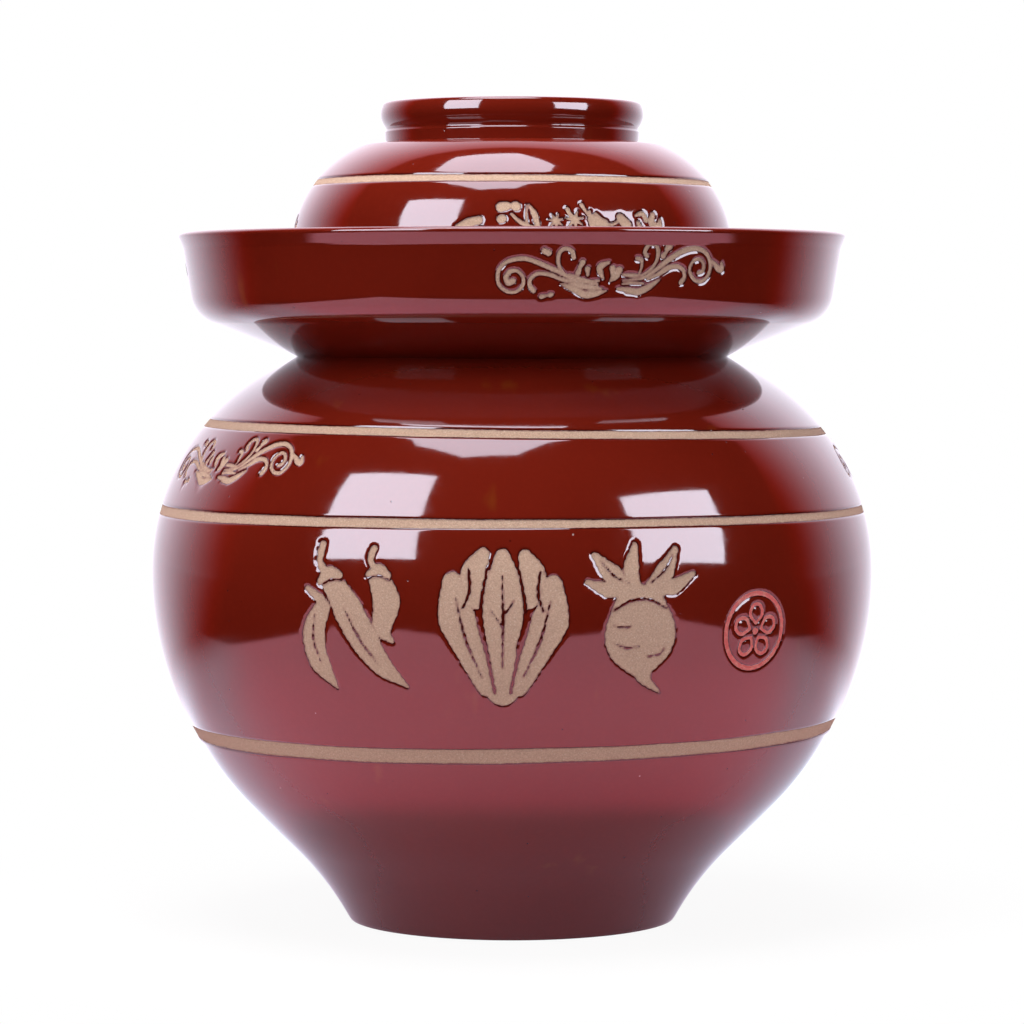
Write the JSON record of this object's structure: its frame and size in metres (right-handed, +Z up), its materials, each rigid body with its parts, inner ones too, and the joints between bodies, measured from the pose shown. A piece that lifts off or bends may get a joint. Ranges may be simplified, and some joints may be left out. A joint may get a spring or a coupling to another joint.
{
  "type": "water seal pickle jar",
  "caption": "Round-bellied glazed stoneware jar with a water moat around its neck, an inner lid and an upturned bowl as the lid.",
  "frame": {"origin": "the middle of the foot, on the surface that the jar stands on", "axes": "+Z up along the axis of the jar; -Y faces the viewer of the picture, +X is to the viewer's right"},
  "size_m": [0.241, 0.241, 0.273],
  "materials": {
    "red_glaze": "gloss"
  },
  "bodies": {
    "jar": {"jar": "red_glaze"},
    "inner_lid": {"inner_lid": "red_glaze"},
    "lid": {"lid": "red_glaze"}
  },
  "joints": [
    {"name": "inner_lid_lift", "type": "slide", "parent": "jar", "child": "inner_lid", "axis": [0, 0, 1], "range_m": [0, 0.06]},
    {"name": "lid_lift", "type": "slide", "parent": "inner_lid", "child": "lid", "axis": [0, 0, 1], "range_m": [0, 0.13]}
  ]
}
